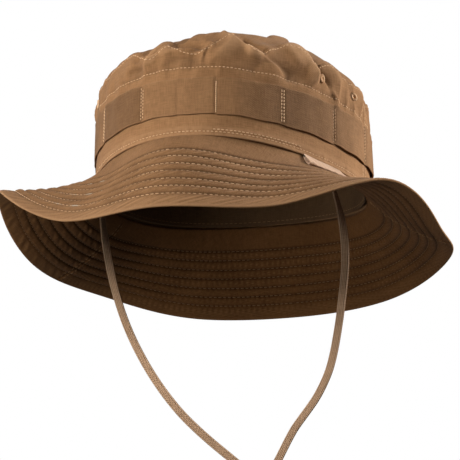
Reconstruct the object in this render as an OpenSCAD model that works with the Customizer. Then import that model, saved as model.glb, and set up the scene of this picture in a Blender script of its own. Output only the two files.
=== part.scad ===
// Boonie hat: soft crown, foliage band, stitched brim, sweatband and chin cord with a cord lock.
// Front is -Y, the wearer's left is +X, +Z is up. The origin is the middle of the head opening.
// Angles round the hat (t, in degrees) start at the front and grow towards the wearer's left.

/* [Crown] */
// Half length of the crown at the brim seam, front to back
seam_a = 102; // [92:0.5:110]
// Half width of the crown at the brim seam
seam_b = 84.5; // [76:0.5:92]
// Height of the crown above the seam at the front
crown_h = 84; // [76:1:95]
// Height up to which the crown wall is upright
wall_h = 43; // [38:1:50]
// Height of the seam that joins the top panel to the side panels
top_seam_h = 57; // [52:1:64]
// Roundness of the crown's shoulder, 2 is an ellipse
shoulder_power = 2.4; // [2:0.1:3.2]
// How far the seam dips at the sides, over the ears
seam_dip = 10; // [0:1:14]
// Thickness of one layer of crown cloth
cloth_t = 0.8; // [0.5:0.1:1.2]
// Angle of the side seams of the crown
crown_split = 92; // [80:1:110]

/* [Brim] */
// Width of the brim from seam to edge
brim_w = 62; // [50:1:70]
// Droop below level at twelve places 30 degrees apart, from the front towards the wearer's left
brim_droop = [58, 55, 22, 32, 33, 57, 69, 64, 40, 31, 7, 52];
// How much the brim flattens towards its edge at the sides
side_flare = 12; // [0:1:25]
// How far the brim sags between seam and edge at the same twelve places
brim_sag = [-3, 3.5, 4, 1, 2.5, 3, 2, 0.5, 0, 1, 1, 3];
// Thickness of the brim's upper and lower cloth
brim_cloth_t = 0.7; // [0.5:0.1:1]
// Thickness of the stiffener between them
interlining_t = 0.8; // [0.5:0.1:1.2]
// Width of the plain rim outside the last row of stitching
rim_w = 10; // [6:1:14]
// Angle of the side seams of the brim
brim_split = 100; // [90:1:115]

/* [Foliage band] */
// Width of the webbing
band_w = 23; // [20:1:30]
// Height of its lower edge above the brim seam
band_z = 13; // [8:1:18]
// Thickness of the webbing
band_t = 1.2; // [0.8:0.1:1.6]
// Width of the front loop
front_loop = 48; // [40:1:55]
// Number of loops round the hat
loops = 14; // [10:1:16]
// How far a loop stands off the crown at its lower edge
loop_gap = 1.6; // [1:0.1:3]

/* [Sweatband and trim] */
// Height of the sweatband
sweat_h = 30; // [25:1:36]
// Thickness of the sweatband
sweat_t = 1.0; // [0.8:0.1:1.5]
// Distance of the sweatband from the outside of the crown
sweat_inset = 2.8; // [2.6:0.1:3.5]
// Radius of the hole in a vent eyelet
vent_r = 1.0; // [0.8:0.1:1.2]
// Outer radius of a vent eyelet
eyelet_r = 2.5; // [2.4:0.1:4]
// Height of the label
label_h = 9; // [6:1:14]
// Angles at which the label begins and ends
label_span = [52, 71];

/* [Chin cord] */
// Width of the flat braid
cord_w = 5; // [4:0.5:5]
// Thickness of the flat braid
cord_t = 1.6; // [1.2:0.1:1.6]
// Radius of the cord lock's barrel
lock_r = 6.5; // [6.2:0.1:8]
// Radius of its plunger
plunger_r = 4.5; // [4.3:0.1:4.5]
// Travel of the plunger
plunger_travel = 4.5; // [3:0.5:4.5]

/* [Hidden] */

column = 6;                 // degrees between the columns of a cloth panel
air = 0.1;                  // gap between layers that are sewn together
half_gap = 0.04;            // degrees left free on each side of a side seam
eyelet_angles = [61, 82];   // the same on both sides of the hat
eyelet_z = 48;
cord_exit_t = 70;
cord_exit = [76.2, -34];
pivot_z = -seam_dip*pow(sin(cord_exit_t), 2) - cord_w/2;
lock_at = [31, -34, -219];
strand_gap = 2.2;           // from the middle of one strand to the middle of the other in the lock

khaki = [0.42, 0.29, 0.17];
dark_khaki = [0.30, 0.20, 0.11];
thread = [0.66, 0.50, 0.32];

// ---------- shape of the crown ----------

// Direction in plan that points straight out of the hat at angle t
function out_dir(t) =
  let (v = [sin(t)/seam_b, -cos(t)/seam_a])
  v / norm(v);

// Share of the seam's size that the crown has at height z
function crown_share(z) =
  z <= wall_h ? 1 : pow(1 - pow((z - wall_h)/(crown_h - wall_h), shoulder_power), 1/shoulder_power);

// Height at which the crown has the share k of the seam's size
function crown_height(k) =
  wall_h + (crown_h - wall_h)*pow(1 - pow(k, shoulder_power), 1/shoulder_power);

// Unit normal of the crown's profile, outwards and upwards
function crown_normal(k, z) =
  let (
    rise = max(0, (z - wall_h)/(crown_h - wall_h)),
    v = [pow(k, shoulder_power - 1)/seam_a, pow(rise, shoulder_power - 1)/(crown_h - wall_h)]
  )
  v / norm(v);

// Point of the crown: share k at height z, angle t, moved out along the normal
function crown_point(k, z, t, off) =
  let (n = crown_normal(k, z), o = out_dir(t))
  [k*seam_b*sin(t) + o[0]*n[0]*off,
   -k*seam_a*cos(t) + o[1]*n[0]*off,
   z - seam_dip*pow(sin(t), 2)*(1 - z/crown_h) + n[1]*off];

function wall_point(z, t, off) = crown_point(crown_share(z), z, t, off);

// ---------- shape of the brim ----------

// Smooth periodic curve through values that stand evenly round the hat
function round_curve(values, t) =
  let (
    n = len(values),
    u = (t + 720)*n/360,
    i = floor(u),
    f = u - i,
    p = [for (k = [-1:2]) values[(i + k)%n]]
  )
  0.5*(2*p[1] + (p[2] - p[0])*f + (2*p[0] - 5*p[1] + 4*p[2] - p[3])*f*f
       + (3*p[1] - p[0] - 3*p[2] + p[3])*f*f*f);

// Point of the brim at distance w from the seam: a circular arc in the upright plane
// through the seam, whose slope changes by twice the flare between seam and edge, let down
// by the sag between them
function brim_point(w, t, depth) =
  let (
    flare = side_flare*pow(sin(t), 2),
    half = flare*w/brim_w,
    chord = half < 0.01 ? w : w*sin(half)/(half*PI/180),
    mean = round_curve(brim_droop, t) + flare - half,
    slope = mean - half,
    o = out_dir(t),
    low = depth + round_curve(brim_sag, t)*sin(180*pow(w/brim_w, 0.6)),
    reach = chord*cos(mean) - low*sin(slope)
  )
  [seam_b*sin(t) + o[0]*reach,
   -seam_a*cos(t) + o[1]*reach,
   -seam_dip*pow(sin(t), 2) - chord*sin(mean) - low*cos(slope)];

// ---------- building cloth from two grids of points ----------

function flat_list(grid) = [for (row = grid, p = row) p];
function ring_angles() = [for (t = [0:column:359.9]) t];
function span_angles(from, to) =
  let (n = ceil((to - from)/column))
  [for (i = [0:n]) from + (to - from)*i/n];

// Two triangles for the four corners a, b, c, d, given anticlockwise from outside
function quad(a, b, c, d) = [[a, c, b], [a, d, c]];

// A sheet with a face grid and a back grid. Rows run upwards or inwards, and columns
// run anticlockwise seen from above. A ring closes on itself.
module cloth(face, back, ring = false) {
  rows = len(face);
  cols = len(face[0]);
  total = rows*cols;
  last = ring ? cols - 1 : cols - 2;
  faces = [
    for (j = [0:rows - 2], i = [0:last])
      let (n = (i + 1)%cols, a = j*cols + i, b = j*cols + n, c = b + cols, d = a + cols)
      each concat(quad(a, b, c, d), quad(total + a, total + d, total + c, total + b)),
    for (i = [0:last])
      let (n = (i + 1)%cols, top = (rows - 1)*cols)
      each concat(quad(total + i, total + n, n, i),
                  quad(top + i, top + n, total + top + n, total + top + i)),
    if (!ring)
      for (j = [0:rows - 2])
        let (a = j*cols, e = a + cols - 1)
        each concat(quad(total + a, a, a + cols, total + a + cols),
                    quad(e, total + e, total + e + cols, e + cols))
  ];
  polyhedron(concat(flat_list(face), flat_list(back)), faces);
}

// ---------- crown ----------

side_rows = [0, 15, 30, wall_h, wall_h + 5, wall_h + 9, top_seam_h - 2, top_seam_h];

module crown_side(from, to) {
  angles = span_angles(from + half_gap, to - half_gap);
  cloth([for (z = side_rows) [for (t = angles) wall_point(z, t, 0)]],
        [for (z = side_rows) [for (t = angles) wall_point(z, t, -cloth_t)]]);
}

// Holes for the eyelets, straight through the wall
module eyelet_places(angles) {
  for (t = angles) {
    o = out_dir(t);
    n = crown_normal(crown_share(eyelet_z), eyelet_z);
    translate(wall_point(eyelet_z, t, 0))
      rotate([0, 0, atan2(o[1], o[0])])
        rotate([0, atan2(n[0], n[1]), 0])
          children();
  }
}

module crown_side_front() {
  color(khaki)
    difference() {
      crown_side(-crown_split, crown_split);
      eyelet_places([eyelet_angles[0], eyelet_angles[1], -eyelet_angles[0], -eyelet_angles[1]])
        cylinder(r = vent_r + 0.7, h = 8, center = true, $fn = 24);
    }
}

module crown_side_back() {
  color(khaki)
    crown_side(crown_split, 360 - crown_split);
}

// Top panel: rings that shrink towards the middle, closed by a fan round the centre
module crown_top() {
  edge = crown_share(top_seam_h) - 0.004;
  shares = [edge, 0.94, 0.9, 0.84, 0.76, 0.64, 0.48, 0.28, 0.1];
  angles = ring_angles();
  face = [for (k = shares) [for (t = angles) crown_point(k, crown_height(k), t, 0)]];
  back = [for (k = shares) [for (t = angles) crown_point(k, crown_height(k), t, -cloth_t)]];
  rows = len(shares);
  cols = len(angles);
  total = rows*cols;
  rim = (rows - 1)*cols;
  centre = 2*total;
  faces = [
    for (j = [0:rows - 2], i = [0:cols - 1])
      let (n = (i + 1)%cols, a = j*cols + i, b = j*cols + n, c = b + cols, d = a + cols)
      each concat(quad(a, b, c, d), quad(total + a, total + d, total + c, total + b)),
    for (i = [0:cols - 1])
      let (n = (i + 1)%cols)
      each concat(quad(total + i, total + n, n, i),
                  [[rim + i, centre, rim + n], [total + rim + n, centre + 1, total + rim + i]])
  ];
  points = concat(flat_list(face), flat_list(back), [[0, 0, crown_h], [0, 0, crown_h - cloth_t]]);
  color(khaki)
    polyhedron(points, faces);
}

// Bias tape that covers the raw edges of the top seam inside the crown
module top_seam_tape() {
  heights = [top_seam_h - 4.4, top_seam_h - 2.2, top_seam_h];
  angles = ring_angles();
  near = -cloth_t - 0.15;
  far = near - 0.6;
  color(dark_khaki)
    cloth([for (z = heights) [for (t = angles) wall_point(z, t, near)]],
          [for (z = heights) [for (t = angles) wall_point(z, t, far)]], ring = true);
}

// Sewn eyelet: a thread sleeve through the cloth with a flange on each side
module eyelet() {
  sleeve_r = vent_r + 0.55;
  clear = 0.35;
  rim_t = 0.6;
  rotate_extrude($fn = 32)
    polygon([
      [vent_r, clear + rim_t], [eyelet_r - 0.4, clear + rim_t], [eyelet_r, clear + 0.2],
      [eyelet_r, clear], [sleeve_r, clear], [sleeve_r, -cloth_t - clear],
      [eyelet_r - 0.4, -cloth_t - clear], [eyelet_r - 0.6, -cloth_t - clear - rim_t],
      [vent_r, -cloth_t - clear - rim_t]
    ]);
}

module vent_eyelets() {
  color(thread)
    eyelet_places([eyelet_angles[0], eyelet_angles[1], -eyelet_angles[0], -eyelet_angles[1]])
      eyelet();
}

// ---------- foliage band ----------

// Length along the crown wall for each degree from the front, and the angle for a length
fine = 3;
function wall_step(t) = norm([seam_b*(sin(t + fine) - sin(t)), seam_a*(cos(t + fine) - cos(t))]);
steps = [for (t = [0:fine:360 - fine]) wall_step(t)];
lengths = [for (i = 0, s = 0; i <= len(steps); s = s + (i < len(steps) ? steps[i] : 0), i = i + 1) s];
arc_table = [for (i = [0:len(steps)]) [lengths[i], i*fine]];
girth = lengths[len(steps)];
function angle_at(s) = lookup(s < 0 ? s + girth : s, arc_table);

loop_w = (girth - front_loop)/(loops - 1);
tack_places = [for (i = [0:loops - 1]) front_loop/2 + i*loop_w];

// Share of a loop's own gap at the fraction u of its width, 0 at the tacks
function swell(u) = pow(sin(180*u), 0.6);

module foliage_band() {
  shares = [0, 0.12, 0.3, 0.5, 0.7, 0.88];
  places = [
    for (i = [0:loops - 1], u = shares)
      let (w = i == loops - 1 ? front_loop : loop_w)
      [angle_at(tack_places[i] + u*w > girth ? tack_places[i] + u*w - girth : tack_places[i] + u*w),
       swell(u)]
  ];
  heights = [0, 0.5, 1];
  face = [for (h = heights) [for (p = places)
           wall_point(band_z + h*band_w, p[0], 0.15 + band_t + loop_gap*p[1]*(1 - 0.75*h))]];
  back = [for (h = heights) [for (p = places)
           wall_point(band_z + h*band_w, p[0], 0.15 + loop_gap*p[1]*(1 - 0.75*h))]];
  color(khaki)
    cloth(face, back, ring = true);
}

// Two rows of thread at each tack that hold the webbing to the crown
module band_tacks() {
  row_gap = 1.6;
  thread_w = 0.8;
  thread_t = 0.5;
  color(thread)
    for (s = tack_places) {
      t = angle_at(s);
      o = out_dir(t);
      translate(wall_point(band_z + 1, t, 0.45 + band_t))
        rotate([0, 0, atan2(o[1], o[0])])
          for (side = [-1, 1])
            translate([0, side*row_gap/2 - thread_w/2, 0])
              cube([thread_t, thread_w, band_w - 2.5]);
    }
}

// ---------- label and sweatband ----------

// Blank woven tab sewn into the brim seam, lying on the brim
module side_label() {
  angles = span_angles(label_span[0], label_span[1]);
  reach = [label_h + 0.6, 6, 0.6];
  color([0.62, 0.45, 0.33])
    cloth([for (w = reach) [for (t = angles) brim_point(w, t, -1.3)]],
          [for (w = reach) [for (t = angles) brim_point(w, t, -0.5)]]);
}

module sweatband() {
  heights = [0.6, sweat_h/2, sweat_h];
  angles = ring_angles();
  color(dark_khaki)
    cloth([for (z = heights) [for (t = angles) wall_point(z, t, -sweat_inset)]],
          [for (z = heights) [for (t = angles) wall_point(z, t, -sweat_inset - sweat_t)]],
          ring = true);
}

// ---------- brim ----------

core_w = brim_w - rim_w;
lower_top = brim_cloth_t + 2*air + interlining_t;
brim_total = lower_top + brim_cloth_t;
middle = brim_total/2;

// Rows from the edge inwards. Past the stiffener the two cloths close up to each other.
function brim_rows() = [brim_w, brim_w - 4, core_w + 0.8, core_w, 40, 28, 16, 6, 0.6, 0.1];

function panel_angles(from, to) = span_angles(from + half_gap, to - half_gap);

module brim_panel(from, to, upper) {
  angles = panel_angles(from, to);
  rows = brim_rows();
  function near(w) = upper ? 0 : (w > core_w + 0.1 ? middle + air/2 : lower_top);
  function far(w) = upper ? (w > core_w + 0.1 ? middle - air/2 : brim_cloth_t) : brim_total;
  cloth([for (w = rows) [for (t = angles) brim_point(w, t, near(w))]],
        [for (w = rows) [for (t = angles) brim_point(w, t, far(w))]]);
}

module brim_top_front() {
  color(khaki)
    brim_panel(-brim_split, brim_split, true);
}

module brim_top_back() {
  color(khaki)
    brim_panel(brim_split, 360 - brim_split, true);
}

module brim_under_front() {
  color(dark_khaki)
    brim_panel(-brim_split, brim_split, false);
}

module brim_under_back() {
  color(dark_khaki)
    brim_panel(brim_split, 360 - brim_split, false);
}

// One ring through the columns of both panels, so that it lies between them everywhere
module brim_interlining() {
  angles = concat(panel_angles(-brim_split, brim_split), panel_angles(brim_split, 360 - brim_split));
  rows = [core_w - 0.3, 40, 28, 16, 6, 0.6];
  top = brim_cloth_t + air;
  color([0.55, 0.50, 0.42])
    cloth([for (w = rows) [for (t = angles) brim_point(w, t, top)]],
          [for (w = rows) [for (t = angles) brim_point(w, t, top + interlining_t)]], ring = true);
}

// ---------- chin cord ----------

// Middle line of the cord: x, y, z and the turn of its broad face, 0 facing sideways and
// 90 facing forwards. It runs from the wearer's right down through the lock, round the
// loose end and up to the wearer's left.
cord_route = [
  [-76.2, -34, pivot_z, 0], [-76, -34, -20, 10], [-74.5, -34, -34, 35], [-71.5, -34, -50, 65],
  [-66.5, -34, -71, 88], [-59, -34, -93, 90], [-49, -34, -114, 90], [-36, -34, -135, 90],
  [-20, -34, -155, 90], [-1, -34, -173, 90], [18, -33.7, -189, 90], [28.5, -33.1, -200, 90],
  [31, -32.9, -213, 90], [31, -32.9, -231, 90], [31, -32.9, -250, 90], [31, -32.9, -268, 90],
  [31, -30, -280, 90], [31, -25, -291, 90], [31, -27, -302, 90], [31, -34, -306.5, 90],
  [31, -41, -302, 90], [31, -43, -291, 90], [31, -38, -280, 90], [31, -35.1, -268, 90],
  [31, -35.1, -250, 90], [31, -35.1, -231, 90], [31, -35.1, -213, 90], [34, -34.8, -200, 90],
  [42, -34.2, -186, 90], [52, -34, -168, 90], [65, -34, -151, 90], [74, -34, -133, 90],
  [79, -34, -111, 90], [82, -34, -90, 90], [84, -34, -69, 88], [83.3, -34, -50, 70],
  [80.5, -34, -34, 33], [77, -34, -20, 10], [76.2, -34, pivot_z, 0]
];

// The route halved once by a smooth curve through its points
function midway(i) =
  let (last = len(cord_route) - 1, p = cord_route)
  (9*(p[i] + p[i + 1]) - p[max(0, i - 1)] - p[min(last, i + 2)])/16;
cord_line = [
  for (i = [0:len(cord_route) - 2]) each [cord_route[i], midway(i)],
  cord_route[len(cord_route) - 1]
];

// Cross-section of the braid, seen along it
half_w = cord_w/2;
half_t = cord_t/2;
braid = [
  [half_w, 0.4*half_t], [half_w - 0.4, half_t], [0.4 - half_w, half_t], [-half_w, 0.4*half_t],
  [-half_w, -0.4*half_t], [0.4 - half_w, -half_t], [half_w - 0.4, -half_t], [half_w, -0.4*half_t]
];

function cord_position(i) = [cord_line[i][0], cord_line[i][1], cord_line[i][2]];
function cord_direction(i) =
  let (
    last = len(cord_line) - 1,
    v = i == 0 ? [0, 0, -1] : i == last ? [0, 0, 1] : cord_position(i + 1) - cord_position(i - 1)
  )
  v / norm(v);

// One ring of the tube: the section laid square to the cord
function cord_ring(i) =
  let (
    dir = cord_direction(i),
    turn = cord_line[i][3],
    want = [sin(turn), cos(turn), 0],
    broad = want - (want*dir)*dir,
    u = broad / norm(broad),
    v = cross(dir, u)
  )
  [for (q = braid) cord_position(i) + u*q[0] + v*q[1]];

module tube(rings) {
  sides = len(rings[0]);
  last = len(rings) - 1;
  faces = [
    for (j = [0:last - 1], i = [0:sides - 1])
      let (n = (i + 1)%sides, a = j*sides + i, b = j*sides + n)
      each quad(a, b, b + sides, a + sides),
    [for (i = [0:sides - 1]) i],
    [for (i = [sides - 1:-1:0]) last*sides + i]
  ];
  polyhedron(flat_list(rings), faces);
}

// The cord turns on a short round eye at each side of the head opening
module chin_cord() {
  color(khaki) {
    tube([for (i = [0:len(cord_line) - 1]) cord_ring(i)]);
    for (side = [-1, 1])
      translate([side*cord_exit[0], cord_exit[1], pivot_z])
        rotate([0, 90, 0])
          cylinder(r = half_w, h = cord_t, center = true, $fn = 32);
  }
}

// End of the cord sewn between the crown wall and the sweatband
module cord_end(side) {
  t = side*cord_exit_t;
  o = out_dir(t);
  seam_z = -seam_dip*pow(sin(t), 2);
  inset = cloth_t + 0.15 + half_t;
  color(khaki)
    translate([seam_b*sin(t) - o[0]*inset, -seam_a*cos(t) - o[1]*inset, seam_z + 0.4])
      rotate([0, 0, atan2(o[1], o[0])])
        translate([-half_t, -half_w, 0])
          cube([cord_t, cord_w, 16]);
}

module cord_end_left() {
  cord_end(1);
}

module cord_end_right() {
  cord_end(-1);
}

// ---------- cord lock ----------

barrel_front = -7;
barrel_back = 13.5;
bore_floor = 12;
bore_r = plunger_r + 0.1;
slot_half = cord_w/2 + 0.8;
stack = strand_gap + cord_t;
plunger_end = stack/2 + 2.3;

// Upright slot for the two strands, from y0 to y1 along the barrel
module cord_slot(y0, y1) {
  translate([-slot_half, y0, -lock_r - 1])
    cube([2*slot_half, y1 - y0, 2*lock_r + 2]);
}

module lock_barrel() {
  rim = 1;
  color([0.20, 0.15, 0.10])
    translate(lock_at)
      difference() {
        rotate([-90, 0, 0])
          rotate_extrude($fn = 48)
            polygon([
              [0, barrel_front], [lock_r - rim, barrel_front], [lock_r, barrel_front + rim],
              [lock_r, barrel_back - rim], [lock_r - rim, barrel_back], [0, barrel_back]
            ]);
        translate([0, bore_floor, 0])
          rotate([90, 0, 0])
            cylinder(r = bore_r, h = bore_floor - barrel_front + 1, $fn = 48);
        cord_slot(-stack/2 - 0.25, stack/2 + 0.25);
      }
}

module lock_plunger() {
  head = barrel_front - plunger_travel - 1.5;
  dome = 1.2;
  color([0.20, 0.15, 0.10])
    translate(lock_at)
      difference() {
        rotate([-90, 0, 0])
          rotate_extrude($fn = 48)
            polygon([
              [0, head], [plunger_r - dome, head], [plunger_r, head + dome],
              [plunger_r, plunger_end], [0, plunger_end]
            ]);
        cord_slot(-stack/2 - 0.25 - plunger_travel, stack/2 + 0.3);
      }
}

// Coil spring, as short as it is when the plunger is pressed home
module lock_spring() {
  turns = 4;
  wire_r = 0.25;
  coil_r = 3.2;
  per_turn = 16;
  pressed = bore_floor - plunger_end - plunger_travel - 0.3;
  rise = pressed - 2*wire_r;
  count = turns*per_turn;
  rings = [
    for (i = [0:count])
      let (a = 360*i/per_turn, y = bore_floor - 0.1 - wire_r - rise*i/count, c = [cos(a), 0, sin(a)])
      [for (q = [0:60:300]) c*(coil_r + wire_r*cos(q)) + [0, y + wire_r*sin(q), 0]]
  ];
  color("silver")
    translate(lock_at)
      tube(rings);
}

crown_top();
crown_side_front();
crown_side_back();
top_seam_tape();
vent_eyelets();
foliage_band();
band_tacks();
side_label();
sweatband();
brim_top_front();
brim_top_back();
brim_interlining();
brim_under_front();
brim_under_back();
cord_end_left();
cord_end_right();
chin_cord();
lock_barrel();
lock_spring();
lock_plunger();
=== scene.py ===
"""Boonie hat with its chin cord and cord lock, in metres. Front is -Y, the wearer's left is +X.

Angles round the hat, t, start at the front and grow towards the wearer's left.
"""
import bpy
import numpy as np
from mathutils import Matrix, Vector


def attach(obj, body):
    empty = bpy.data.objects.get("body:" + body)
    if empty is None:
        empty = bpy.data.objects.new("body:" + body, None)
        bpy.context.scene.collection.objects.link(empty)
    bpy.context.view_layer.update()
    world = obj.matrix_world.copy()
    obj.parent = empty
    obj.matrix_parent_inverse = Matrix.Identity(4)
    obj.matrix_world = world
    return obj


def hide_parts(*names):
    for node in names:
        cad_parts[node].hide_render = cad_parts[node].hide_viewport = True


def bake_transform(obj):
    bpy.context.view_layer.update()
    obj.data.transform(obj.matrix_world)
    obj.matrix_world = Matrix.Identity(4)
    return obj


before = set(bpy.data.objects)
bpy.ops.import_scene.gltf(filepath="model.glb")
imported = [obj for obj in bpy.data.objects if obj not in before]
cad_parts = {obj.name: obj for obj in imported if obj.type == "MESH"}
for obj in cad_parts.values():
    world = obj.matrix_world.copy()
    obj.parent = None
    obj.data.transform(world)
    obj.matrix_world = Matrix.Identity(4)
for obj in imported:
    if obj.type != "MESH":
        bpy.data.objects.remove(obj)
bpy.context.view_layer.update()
scene = bpy.context.scene


# ---------- Viewpoint ----------
# A long lens at the wearer's left front, a little below the brim, so that both the stitched top
# of the brim and its dark underside are seen.
azimuth, elevation, roll = np.radians([20, -16, 0.5])
distance = 1.6
looked_at = Vector((-0.0050, 0.0068, -0.0284))
back = Vector((np.sin(azimuth) * np.cos(elevation), -np.cos(azimuth) * np.cos(elevation), np.sin(elevation)))
level = Vector((np.cos(azimuth), np.sin(azimuth), 0))
up = back.cross(level)
right = level * np.cos(roll) + up * np.sin(roll)
above = up * np.cos(roll) - level * np.sin(roll)

camera = bpy.data.objects.new("camera", bpy.data.cameras.new("camera"))
camera.data.lens = 197.4
camera.data.sensor_width = 36
camera.matrix_world = Matrix.Translation(looked_at + back * distance) @ Matrix(
    (right, above, back)).transposed().to_4x4()
scene.collection.objects.link(camera)
scene.camera = camera


# ---------- Studio ----------
# The hat hangs in a surround that is white to the camera and dim otherwise, more so from below. A
# close soft box lights it from the wearer's right front, a weak one from below, and two from behind.
# The pale floor lies well below the hanging cord. It shows its upper face only, so that a look from
# below passes through it.
floor_z = -0.62
bpy.ops.mesh.primitive_plane_add(size=8.0, location=(0, 0, floor_z))
floor = bpy.context.object
floor.name = "floor"
floor.visible_diffuse = False
floor.visible_glossy = False
floor.visible_shadow = False
floor_paint = bpy.data.materials.new("floor_paint")
floor_paint.use_nodes = True
floor_nodes, floor_links = floor_paint.node_tree.nodes, floor_paint.node_tree.links
floor_nodes.clear()
floor_side = floor_nodes.new("ShaderNodeNewGeometry")
floor_pale = floor_nodes.new("ShaderNodeEmission")
floor_pale.inputs["Color"].default_value = (0.97, 0.97, 0.97, 1)
floor_clear = floor_nodes.new("ShaderNodeBsdfTransparent")
floor_mix = floor_nodes.new("ShaderNodeMixShader")
floor_out = floor_nodes.new("ShaderNodeOutputMaterial")
floor_links.new(floor_side.outputs["Backfacing"], floor_mix.inputs[0])
floor_links.new(floor_pale.outputs[0], floor_mix.inputs[1])
floor_links.new(floor_clear.outputs[0], floor_mix.inputs[2])
floor_links.new(floor_mix.outputs[0], floor_out.inputs["Surface"])
floor.data.materials.append(floor_paint)

scene.view_settings.view_transform = "Standard"
world = bpy.data.worlds.new("surround")
scene.world = world
world.use_nodes = True
air = world.node_tree
air.nodes.clear()
place = air.nodes.new("ShaderNodeTexCoord")
split = air.nodes.new("ShaderNodeSeparateXYZ")
glow = air.nodes.new("ShaderNodeMapRange")
glow.inputs["From Min"].default_value = -0.35
glow.inputs["From Max"].default_value = 0.6
glow.inputs["To Min"].default_value = 0.06
glow.inputs["To Max"].default_value = 0.13
eye = air.nodes.new("ShaderNodeLightPath")
seen = air.nodes.new("ShaderNodeMix")
seen.inputs["B"].default_value = 1.0
sky = air.nodes.new("ShaderNodeBackground")
sky.inputs["Color"].default_value = (1.0, 1.0, 1.0, 1)
out = air.nodes.new("ShaderNodeOutputWorld")
air.links.new(place.outputs["Generated"], split.inputs[0])
air.links.new(split.outputs["Z"], glow.inputs["Value"])
air.links.new(eye.outputs["Is Camera Ray"], seen.inputs["Factor"])
air.links.new(glow.outputs["Result"], seen.inputs["A"])
air.links.new(seen.outputs["Result"], sky.inputs["Strength"])
air.links.new(sky.outputs[0], out.inputs[0])


def soft_box(name, at, side, watts, colour):
    """A square area light at a point, turned so that it shines at the middle of the head opening."""
    lamp = bpy.data.lights.new(name, "AREA")
    lamp.shape = "RECTANGLE"
    lamp.size = side
    lamp.size_y = side
    lamp.energy = watts
    lamp.color = colour
    box = bpy.data.objects.new(name, lamp)
    box.matrix_world = Matrix.Translation(at) @ (-Vector(at)).to_track_quat("-Z", "Y").to_matrix().to_4x4()
    scene.collection.objects.link(box)


soft_box("key", (-0.40, -0.86, 0.36), 0.36, 11.0, (1.0, 0.97, 0.94))
soft_box("low", (-0.78, -0.93, -0.58), 0.6, 5.5, (1.0, 0.97, 0.94))
soft_box("back_right", (-1.35, 0.50, 0.30), 0.5, 5.0, (1.0, 0.98, 0.96))
soft_box("back_left", (1.28, 0.62, 0.40), 0.5, 38.0, (1.0, 0.98, 0.96))


# ---------- Chin cord ----------
# One flat woven braid, 5 mm wide, of five soft ribs. It is sewn into the seam of the head opening
# on both sides and goes down through the cord lock, below which its loose end makes a loop.
cord_width = 0.005
cord_thick = 0.0016
cord_route = np.array([
    (-76.2, -34, -11.3, 0), (-76, -34, -20, 10), (-74.5, -34, -34, 35), (-71.5, -34, -50, 65),
    (-66.5, -34, -71, 88), (-59, -34, -93, 90), (-49, -34, -114, 90), (-36, -34, -135, 90),
    (-20, -34, -155, 90), (-1, -34, -173, 90), (18, -33.7, -189, 90), (28.5, -33.1, -200, 90),
    (31, -32.9, -213, 90), (31, -32.9, -231, 90), (31, -32.9, -250, 90), (31, -32.9, -268, 90),
    (31, -30, -280, 90), (31, -25, -291, 90), (31, -27, -302, 90), (31, -34, -306.5, 90),
    (31, -41, -302, 90), (31, -43, -291, 90), (31, -38, -280, 90), (31, -35.1, -268, 90),
    (31, -35.1, -250, 90), (31, -35.1, -231, 90), (31, -35.1, -213, 90), (34, -34.8, -200, 90),
    (42, -34.2, -186, 90), (52, -34, -168, 90), (65, -34, -151, 90), (74, -34, -133, 90),
    (79, -34, -111, 90), (82, -34, -90, 90), (84, -34, -69, 88), (83.3, -34, -50, 70),
    (80.5, -34, -34, 33), (77, -34, -20, 10), (76.2, -34, -11.3, 0)])


def unit(v):
    """The same vectors, one long."""
    return v / np.linalg.norm(v, axis=-1, keepdims=True)


def halve(p):
    """Adds a point in the middle of each span: nine sixteenths of each neighbour, less one
    sixteenth of each point beyond them."""
    q = np.concatenate([p[:1], p, p[-1:]])
    halved = np.empty((2 * len(p) - 1, p.shape[1]))
    halved[0::2] = p
    halved[1::2] = (9 * (q[1:-2] + q[2:-1]) - q[:-3] - q[3:]) / 16
    return halved


def carry(profile, line, broad):
    """Carries a closed profile (n, 2) along a line (m, 3): each ring lies square to the line, the
    profile's first axis is broad less its share along the line, and the second is across both."""
    along = unit(np.gradient(line, axis=0))
    first = unit(broad - (broad * along).sum(1, keepdims=True) * along)
    second = np.cross(along, first)
    return line[:, None] + profile[..., 0, None] * first[:, None] + profile[..., 1, None] * second[:, None]


def lengths(line):
    """Distance of each point of a line from its first point, along the line."""
    steps = np.linalg.norm(np.diff(line, axis=0), axis=-1)
    return np.concatenate([np.zeros((1,) + steps.shape[1:]), np.cumsum(steps, axis=0)])


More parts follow.
